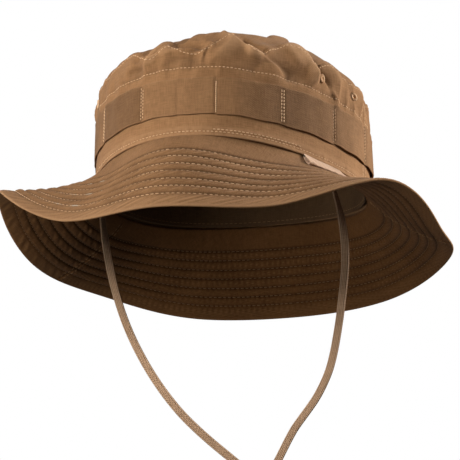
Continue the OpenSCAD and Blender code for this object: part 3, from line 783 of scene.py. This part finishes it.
# How each loop hangs, counted from the one past the front loop on the wearer's left, the front loop
# last: how much painted shade it carries, how that painted shade changes from end to end, and its
# share of the full gap
loop_painted_shade = np.array([0.30, 0.62, 0.30, 0.3, 0.5, 0.4, 0.3, 0.5, 0.4, 0.3, 0.5, 0.4, 0.60, 0.0])
turned = np.array([0.70, -0.2, -0.5, 0.2, -0.2, 0.3, -0.3, 0.2, 0.3, -0.2, 0.2, -0.3, -0.15, 0.0])
stand = np.array([0.12, 0.40, 0.9, 1.0, 0.9, 1.1, 0.8, 1.0, 1.2, 0.9, 0.5, 0.25, 0.2, 0.05])


def loop_share(t):
    """Which loop the angle t is in, 0 being the one past the front loop, how far through it, and the
    distance along the seam."""
    s = np.interp(t % (2 * np.pi), wheel, wheel_run)
    number = np.floor((s - front_loop / 2) / loop_w).astype(int)
    through = (s - front_loop / 2) / loop_w - number
    in_front = (s < front_loop / 2) | (number >= loops - 1)
    through = np.where(in_front, ((s + front_loop / 2) % girth_all) / front_loop, through)
    return np.where(in_front, loops - 1, number), through, s


def band(t, across, depth):
    """Point of the band: it lies on the crown at the tacks, and between them stands off by the sine
    of the way through the loop to the power 0.6, most at its lower edge. It is pressed in a little
    along the tacks, and slack waves run upright through it."""
    t, across, depth = np.broadcast_arrays(t, across, depth)
    number, through, s = loop_share(t)
    h = across / band_w
    gap = loop_gap * stand[number] * np.sin(np.pi * through) ** 0.6 * (1 - 0.75 * h)
    nearest = np.minimum(through, 1 - through) * np.where(number == loops - 1, front_loop, loop_w)
    pressed = np.exp(-(nearest / 0.0011) ** 2)
    slack = 0.00016 * np.sin(s * 2 * np.pi / 0.017 + number * 2.3 + h) * (1 - pressed)
    drawn = 0.00035 * np.exp(-((nearest - 0.0028) / 0.0012) ** 2) * np.cos(h * 21 + number)
    off = 0.0001 + gap + slack + 0.4 * drawn + depth * (1 - 0.42 * pressed)
    edge = 0.0003 * np.sin(s * 2 * np.pi / 0.029 + 1.7 * number)
    return crown(t, walked(band_z + across + edge), off, ripple=0)


def band_painted_light(t, across, depth):
    """Painted light on the band: painted shade beside the tacks, and loop by loop with a change from
    end to end, and a lighter colour along both edges that is partly wear and partly painted
    highlight."""
    number, through, _ = loop_share(t)
    # Painted shade beside the tacks, where the band is pressed in
    tack = np.exp(-(np.minimum(through, 1 - through) * loop_w / 0.0020) ** 2)
    wear_and_painted_highlight = np.exp(-(across / 0.0008) ** 2) + np.exp(-((band_w - across) / 0.0008) ** 2)
    return 0 * depth - loop_painted_shade[number] - turned[number] * (through - 0.5) - 0.25 * tack + 0.35 * wear_and_painted_highlight


# The band's colours are the crown cloth's made darker, as painted shade on the band
band_cloth = cloth("band_cloth", (0.17, 0.086, 0.036), (0.33, 0.175, 0.080), (0.42, 0.245, 0.125),
                   0.00028, 0.88, 0.06, 1700.0, rib=0.08)
foliage_band = ring_piece("foliage_band_strip", band, band_thick, 0.0, band_w, band_cloth, 760, count=26,
                          marks=band_painted_light)
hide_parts("foliage_band")


# ---------- Band tacks ----------
# Upright rows of strong thread that tack the band to the crown: two rows of running stitches, and
# one close row of long stitches beside the front loop on the wearer's left.
rows = []
across = np.linspace(0.0012, band_w - 0.0010, 160)
for number, place in enumerate(tack_places):
    for shift in ((0.0,) if number == 0 else (-0.00075, 0.00075)):
        t = np.interp(place + shift, wheel_run, wheel) + 0 * across
        spots, rise = on(lambda t, w: band(t, -w, band_thick), t, -across)
        if number == 0:
            rows.append(sew(spots, rise, 0.00125, 0.00075, share=1.0))
        else:
            rows.append(sew(spots, rise, 0.0021, 0.00055, share=0.74, phase=0.25 * (shift > 0)))
tack_stitches = stitching("band_tack_stitches", rows, thread)
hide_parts("band_tacks")


# ---------- Sweatband ----------
# Soft cotton band round the inside of the opening, sewn in at the brim seam and stitched along its
# upper and lower edges.
def inside_wall(t, across, depth):
    """Point inside the crown wall: across from the brim seam upwards, and depth from its outside."""
    return crown(t, walked(0.0006 + across), depth, sewn=False)


sweatband = ring_piece("sweatband_strip", inside_wall, -0.0028, -0.0038, 0.0294, lining, 560, count=26)
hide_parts("sweatband")
t = np.linspace(0, 2 * np.pi, 3000)
rows = []
for height in (0.0022, 0.0270):
    spots, rise = on(lambda t, w: inside_wall(t, w, -0.0038), t, height + 0 * t)
    rows.append(sew(spots, -unit(spots * [1, 1, 0]), 0.0032, 0.00042))
# The stitches use the thread darkened as painted shade
stitching("sweatband_stitches", rows, thread_painted_shade)


# ---------- Brim ----------
# Two layers of the crown's cloth with a stiffener between, each in a front and a back piece, held
# together by seven rows of stitching 6 mm apart. Outside the last row is a plain turned rim.
brim_w, side_flare = 0.062, np.radians(12)
brim_droop = np.radians([58, 55, 22, 32, 33, 57, 69, 64, 40, 31, 7, 52])
brim_sag = np.array([-3, 3.5, 4, 1, 2.5, 3, 2, 0.5, 0, 1, 1, 3]) / 1000
brim_middle = 0.0012
quilt_rows = np.array([15, 21, 27.5, 33.5, 40, 46, 52]) / 1000
stitch_pitch = 0.0032


def round_curve(values, t):
    """Smooth periodic curve through twelve values 30 degrees apart: a cubic through four
    neighbours, whose slope at each is half the step between those beside it."""
    u = (np.asarray(t, float) / (2 * np.pi) % 1) * 12
    i = np.floor(u).astype(int)
    f = u - i
    a, b, c, d = (values[(i + k) % 12] for k in (-1, 0, 1, 2))
    straight = 2 * b + (c - a) * f
    return 0.5 * (straight + (2 * a - 5 * b + 4 * c - d) * f ** 2 + (3 * b - a - 3 * c + d) * f ** 3)


def brim(t, w, depth):
    """Point of the brim at distance w from the seam: a circular arc in the upright plane through
    the seam, whose slope changes by twice the flare between seam and edge, let down by the sag
    between them, and depth below it."""
    flare = side_flare * np.sin(t) ** 2
    half = flare * w / brim_w
    chord = w * np.sinc(half / np.pi)
    mean = round_curve(brim_droop, t) + flare - half
    slope = mean - half
    depth = depth + round_curve(brim_sag, t) * np.sin(np.pi * np.clip(w / brim_w, 0, 1) ** 0.6)
    reach = chord * np.cos(mean) - depth * np.sin(slope)
    way = outward(t)
    return np.stack([seam_b * np.sin(t) + way[..., 0] * reach, -seam_a * np.cos(t) + way[..., 1] * reach,
                     -seam_dip * np.sin(t) ** 2 - chord * np.sin(mean) - depth * np.cos(slope)], -1)


brim_wheel = np.linspace(-np.pi, 2 * np.pi, 3001)
seam_run = lengths(brim(brim_wheel, 0 * brim_wheel, 0))
rim_run = lengths(brim(brim_wheel, 0 * brim_wheel + brim_w, 0))


def sewn_run(t, w):
    """Distance sewn along the brim at w, between the seam's own length and the rim's."""
    inner, outer = np.interp(t, brim_wheel, seam_run), np.interp(t, brim_wheel, rim_run)
    return inner + (outer - inner) * w / brim_w


pucker = np.random.default_rng(5)
pucker_long = pucker.uniform(0.0034, 0.0120, 9)
pucker_start = pucker.uniform(0, 2 * np.pi, (8, 9))
pucker_lean = pucker.uniform(-0.5, 0.5, 9)


def quilting(t, w, phase):
    """Relief of the stitched layers: a puff between rows, a groove at each row with a dimple at
    every stitch, and uneven puckers across the puffs, which the phase shifts. Inside the first row
    the cloth is plain, and outside the last is the rim."""
    bands = np.searchsorted(quilt_rows, w)
    inner = np.concatenate([[0.0], quilt_rows])[bands]
    outer = np.concatenate([quilt_rows, [brim_w]])[bands]
    u = np.clip((w - inner) / (outer - inner), 0, 1)
    s = sewn_run(t, w)
    plain = (bands == 0)
    rim = (bands == len(quilt_rows))
    puff = np.sin(np.pi * u) ** 0.8 * np.where(plain, 0.00012, np.where(rim, 0.00035, 0.00052))
    from_row = np.abs(w[..., None] - quilt_rows).min(-1)
    groove = 0.00055 * np.exp(-(from_row / 0.00085) ** 2)
    dimple = 0.00014 * np.cos(2 * np.pi * s / stitch_pitch) * np.exp(-(from_row / 0.0016) ** 2)
    waves = 0 * s
    for wavelength, start, lean in zip(pucker_long, pucker_start.T, pucker_lean):
        waves = waves + np.sin(2 * np.pi * (s + lean * (w - inner)) / wavelength + start[bands] + phase)
    waves = waves * np.sin(np.pi * u) * np.where(plain, 0.00003, np.where(rim, 0.00006, 0.000085))
    seam = np.minimum(np.abs(np.degrees(t) - 100), np.abs(np.degrees(t) - 260))
    seam = np.minimum(seam, np.abs(np.degrees(t) + 100))
    joined = 0.0005 * np.exp(-(seam * 2.1 / 0.9) ** 2)
    rooted = np.clip(w / 0.003, 0, 1)
    return (puff - groove - dimple + waves - joined) * rooted


def half_thick(w):
    """Half the thickness of the layers: full over the stiffener, less in the rim, and rounded off
    as a quarter of an ellipse over the last 0.9 mm."""
    closing = np.clip((w - 0.0515) / 0.0025, 0, 1)
    half = 0.0012 - 0.00040 * closing ** 2 * (3 - 2 * closing)
    return half * np.sqrt(1 - np.clip((w - 0.0611) / 0.0009, 0, 1) ** 2)


def brim_top(t, w):
    """Point of the upper cloth of the brim."""
    t, w = np.broadcast_arrays(np.asarray(t, float), np.asarray(w, float))
    fading = np.clip((brim_w - w) / 0.001, 0, 1)
    return brim(t, w, brim_middle - half_thick(w) - quilting(t, w, 0.0) * fading)


def brim_under(t, w):
    """Point of the lower cloth of the brim."""
    t, w = np.broadcast_arrays(np.asarray(t, float), np.asarray(w, float))
    fading = np.clip((brim_w - w) / 0.001, 0, 1)
    return brim(t, w, brim_middle + half_thick(w) + 0.8 * quilting(t, w, 2.0) * fading)


# The top cloth is coloured darker than the crown's. The lower layer is the same cloth, coloured darker still
# as painted shade on the brim's underside.
brim_cloth = cloth("brim_cloth", (0.15, 0.074, 0.030), (0.30, 0.157, 0.070), (0.42, 0.24, 0.12),
                   0.00025, 0.88, 0.05, 2100.0, rib=0.05)
under_cloth = cloth("under_cloth", (0.12, 0.050, 0.015), (0.24, 0.108, 0.036), (0.34, 0.17, 0.065),
                    0.00025, 0.9, 0.04, 2100.0, rib=0.05)
# Lines of the grid across the brim: wide apart inside the first row, close outside it, at each row
# and on both sides of its groove, and round the edge
w_lines = np.unique(np.concatenate([
    np.linspace(-0.0006, 0.0145, 12), quilt_rows, quilt_rows - 0.0007, quilt_rows + 0.0007,
    np.linspace(0.0155, 0.0605, 60), 0.0611 + 0.0009 * np.sin(np.linspace(0, np.pi / 2, 6))]))
for name, shape, paint, finish, start, stop in (
        ("brim_top_front", brim_top, brim_cloth, "brim_cloth", -100, 100),
        ("brim_top_back", brim_top, brim_cloth, "brim_cloth", 100, 260),
        ("brim_under_front", brim_under, under_cloth, "under_cloth", -100, 100),
        ("brim_under_back", brim_under, under_cloth, "under_cloth", 100, 260)):
    t = np.radians(np.linspace(start + 0.02, stop - 0.02, int((stop - start) / 0.435)))[None]
    w = w_lines[:, None] if shape is brim_under else w_lines[::-1, None]
    grid = shape(t, w)
    flat_uv = np.stack([(0.093 + w) * np.sin(t), -(0.093 + w) * np.cos(t)], -1)
    quilt_shade_zone = (w > quilt_rows[0] - 0.001) & (w < quilt_rows[-1])
    # Painted light on the brim: painted shade in the row grooves and over the quilted zone, slightly darker
    # inside the first row, a lighter colour on the puffs, and a lighter rim that is partly wear and partly
    # painted highlight
    marks = (quilting(*np.broadcast_arrays(t, w), 0.0) / 0.0009 - 0.40 * quilt_shade_zone - 0.12 * (w < quilt_rows[0])
             + 0.55 * np.exp(-((brim_w - w) / 0.0016) ** 2))
    panel = surface(name + "_cloth", grid, flat_uv, marks=marks)
    thickened(panel, 0.0006)
    panel.data.materials.append(paint)
    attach(panel, "hat")
    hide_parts(name)
    spans = lengths(grid.transpose(1, 0, 2))[-1]


# ---------- Stitching of the brim ----------
# Seven rows right through the brim, thread on both faces, and a double row over each side seam.
t = np.linspace(np.pi, 3 * np.pi, 6000)
rows_over, rows_under = [], []
for w in quilt_rows:
    spots, rise = on(brim_top, t, w + 0 * t)
    rows_over.append(sew(spots, rise, stitch_pitch, 0.00050))
    spots, rise = on(brim_under, t, w + 0 * t)
    rows_under.append(sew(spots, -rise, stitch_pitch, 0.00045))
across = np.linspace(0.004, 0.060, 300)
for angle in (-100.8, -99.2, 99.2, 100.8):
    t_seam = np.radians(angle) + 0 * across
    spots, rise = on(brim_top, t_seam, across)
    rows_over.append(sew(spots, rise, stitch_pitch, 0.00045))
    spots, rise = on(brim_under, t_seam, across)
    rows_under.append(sew(spots, -rise, stitch_pitch, 0.00045))
stitching("brim_stitches_top", rows_over, thread)
# The underside rows use the thread darkened as painted shade
stitching("brim_stitches_under", rows_under, thread_painted_shade)


# ---------- Label ----------
# A blank woven tab, folded in two and sewn into the brim seam at the wearer's left front. Its fold
# lies on the brim, and its near end gapes.
label_reach, label_from, label_to = 0.0090, 52, 71
t = np.radians(np.linspace(label_from, label_to, 60))[None]
fold = np.linspace(-np.pi / 2, np.pi / 2, 41)[:, None]
w = 0.0006 + label_reach * np.abs(np.cos(fold)) ** 0.30
gape = 0.0006 + 0.0018 * np.exp(-((np.degrees(t) - label_from) / 4.0) ** 2)
parted = 1 + np.sign(np.sin(fold)) * np.abs(np.sin(fold)) ** 0.7
lift = 0.00035 + gape * 0.5 * parted * (0.3 + 0.7 * w / label_reach)
lift = lift + 0.00012 * np.sin(np.degrees(t) * 1.9) * (w / label_reach)
label_grid = brim(*np.broadcast_arrays(t, w, -lift))
label_uv = np.stack(np.broadcast_arrays(t * 0.095, lengths(np.hstack([w, 0 * w]))[:, None]), -1)
tab = surface("side_label_tab", label_grid[::-1], label_uv[::-1])
thickened(tab, 0.0003)
label_cloth = cloth("label_cloth", (0.46, 0.285, 0.18), (0.66, 0.45, 0.30), (0.75, 0.55, 0.39),
                    0.0002, 0.7, 0.1, 3000.0, squares=1500.0, rib=0.3)
tab.data.materials.append(label_cloth)
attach(tab, "hat")
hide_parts("side_label")


# ---------- Stiffener ----------
# Non-woven interlining inside the brim, seen only where the hat is taken apart.
felt = bpy.data.materials.new("interlining")
felt.use_nodes = True
nodes, links = felt.node_tree.nodes, felt.node_tree.links
skin = nodes["Principled BSDF"]
skin.inputs["Roughness"].default_value = 0.95
place = nodes.new("ShaderNodeTexCoord")
fibres = nodes.new("ShaderNodeTexNoise")
fibres.inputs["Scale"].default_value = 700
fibres.inputs["Detail"].default_value = 6
fibres.inputs["Distortion"].default_value = 2.5
links.new(place.outputs["Object"], fibres.inputs["Vector"])
tint = nodes.new("ShaderNodeMix")
tint.data_type = "RGBA"
tint.inputs["A"].default_value = (0.34, 0.30, 0.23, 1)
tint.inputs["B"].default_value = (0.55, 0.50, 0.42, 1)
links.new(fibres.outputs["Fac"], tint.inputs["Factor"])
links.new(tint.outputs["Result"], skin.inputs["Base Color"])
bump = nodes.new("ShaderNodeBump")
bump.inputs["Strength"].default_value = 0.5
bump.inputs["Distance"].default_value = 0.0003
links.new(fibres.outputs["Fac"], bump.inputs["Height"])
links.new(bump.outputs[0], skin.inputs["Normal"])
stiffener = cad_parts["brim_interlining"]
stiffener.data.materials.clear()
stiffener.data.materials.append(felt)


# ---------- Cord ends ----------
# The two ends of the braid, sewn flat between the crown wall and the sweatband.
for name, side in (("cord_end_left", 1), ("cord_end_right", -1)):
    t = np.radians(70.0 * side)
    way = outward(t)
    inset = cloth_thick + 0.00015 + cord_thick / 2
    foot = np.array([seam_b * np.sin(t) - way[0] * inset, -seam_a * np.cos(t) - way[1] * inset,
                     -seam_dip * np.sin(t) ** 2 + 0.0004])
    line = foot + np.linspace(0, 0.016, 12)[:, None] * np.array([0, 0, 1.0])
    grid = carry(braid_profile, line, np.broadcast_to([-way[1], way[0], 0.0], line.shape))
    uv = np.stack(np.broadcast_arrays(braid_girth[None], lengths(line)[:, None]), -1)
    # The braid's painted shade between the ribs and painted highlight on them carry on here
    end = surface(name + "_braid", grid, uv, columns_round=True, lids=(0, -1),
                  marks=np.broadcast_to(rib_painted_light, grid.shape[:2]))
    end.data.materials.append(braid_cloth)
    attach(end, "hat")
    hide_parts(name)


# ---------- Cord lock ----------
# A moulded barrel with a spring plunger, both with a slot for the two strands. Three low rings
# round the barrel give the fingers a grip.
lock_at = np.array([0.031, -0.034, -0.219])
plastic = bpy.data.materials.new("moulded_plastic")
plastic.use_nodes = True
nodes, links = plastic.node_tree.nodes, plastic.node_tree.links
skin = nodes["Principled BSDF"]
skin.inputs["Specular IOR Level"].default_value = 0.45
place = nodes.new("ShaderNodeTexCoord")
spark = nodes.new("ShaderNodeTexNoise")
spark.inputs["Scale"].default_value = 2600
spark.inputs["Detail"].default_value = 3
links.new(place.outputs["Object"], spark.inputs["Vector"])
scuffs = nodes.new("ShaderNodeTexNoise")
scuffs.inputs["Scale"].default_value = 260
scuffs.inputs["Detail"].default_value = 4
links.new(place.outputs["Object"], scuffs.inputs["Vector"])
tint = nodes.new("ShaderNodeMix")
tint.data_type = "RGBA"
tint.inputs["A"].default_value = (0.050, 0.032, 0.020, 1)
tint.inputs["B"].default_value = (0.105, 0.070, 0.045, 1)
links.new(scuffs.outputs["Fac"], tint.inputs["Factor"])
links.new(tint.outputs["Result"], skin.inputs["Base Color"])
gloss = nodes.new("ShaderNodeMapRange")
gloss.inputs["To Min"].default_value = 0.42
gloss.inputs["To Max"].default_value = 0.66
links.new(scuffs.outputs["Fac"], gloss.inputs["Value"])
links.new(gloss.outputs[0], skin.inputs["Roughness"])
bump = nodes.new("ShaderNodeBump")
bump.inputs["Strength"].default_value = 0.35
bump.inputs["Distance"].default_value = 0.00012
links.new(spark.outputs["Fac"], bump.inputs["Height"])
links.new(bump.outputs[0], skin.inputs["Normal"])
for name in ("lock_barrel", "lock_plunger"):
    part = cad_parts[name]
    part.data.materials.clear()
    part.data.materials.append(plastic)

grip_r, grip_bead = 0.0064, 0.0004
turn = np.linspace(0, 2 * np.pi, 64, endpoint=False)
small = np.linspace(0, 2 * np.pi, 12, endpoint=False)
for number, y in enumerate((0.0050, 0.0075, 0.0100)):
    circle = lock_at + np.stack([grip_r * np.cos(turn), y + 0 * turn, grip_r * np.sin(turn)], -1)
    out_way = unit(np.stack([np.cos(turn), 0 * turn, np.sin(turn)], -1))
    section = grip_bead * np.stack([np.cos(small), np.sin(small)], -1)
    grid = (circle[:, None] + section[None, :, 0, None] * out_way[:, None]
            + section[None, :, 1, None] * np.array([0, 1.0, 0]))
    uv = np.stack(np.broadcast_arrays(np.linspace(0, 0.0025, 13)[None],
                                      np.linspace(0, 0.04, 65)[:, None]), -1)
    grip = surface(f"lock_grip_{number + 1}", grid, uv, rows_round=True, columns_round=True)
    grip.data.materials.append(plastic)
    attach(grip, "cord_lock")


# ---------- Spring ----------
# Steel coil spring between the floor of the barrel's bore and the end of the plunger, drawn at
# the length it has when nobody presses the lock.
wire_r, coil_r, turns = 0.00025, 0.0032, 4
spring_from, spring_to = 0.0119, 0.0043
a = np.linspace(0, 2 * np.pi * turns, turns * 40)
y = spring_from - wire_r - (spring_from - spring_to - 2 * wire_r) * a / a[-1]
coil = lock_at + np.stack([coil_r * np.cos(a), y, coil_r * np.sin(a)], -1)
wire = wire_r * np.stack([np.cos(small), np.sin(small)], -1)
grid = carry(wire, coil, coil - lock_at)
uv = np.stack(np.broadcast_arrays(np.linspace(0, 0.0016, 13)[None], lengths(coil)[:, None]), -1)
spring = surface("lock_spring_coil", grid, uv, columns_round=True, lids=(0, -1))
steel = bpy.data.materials.new("spring_wire")
steel.use_nodes = True
nodes, links = steel.node_tree.nodes, steel.node_tree.links
skin = nodes["Principled BSDF"]
skin.inputs["Metallic"].default_value = 1.0
place = nodes.new("ShaderNodeTexCoord")
drawn = nodes.new("ShaderNodeTexNoise")
drawn.inputs["Scale"].default_value = 900
links.new(place.outputs["Object"], drawn.inputs["Vector"])
shine = nodes.new("ShaderNodeMapRange")
shine.inputs["To Min"].default_value = 0.25
shine.inputs["To Max"].default_value = 0.45
links.new(drawn.outputs["Fac"], shine.inputs["Value"])
links.new(shine.outputs[0], skin.inputs["Roughness"])
tint = nodes.new("ShaderNodeMix")
tint.data_type = "RGBA"
tint.inputs["A"].default_value = (0.52, 0.52, 0.53, 1)
tint.inputs["B"].default_value = (0.70, 0.70, 0.70, 1)
links.new(drawn.outputs["Fac"], tint.inputs["Factor"])
links.new(tint.outputs["Result"], skin.inputs["Base Color"])
spring.data.materials.append(steel)
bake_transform(spring)
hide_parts("lock_spring")
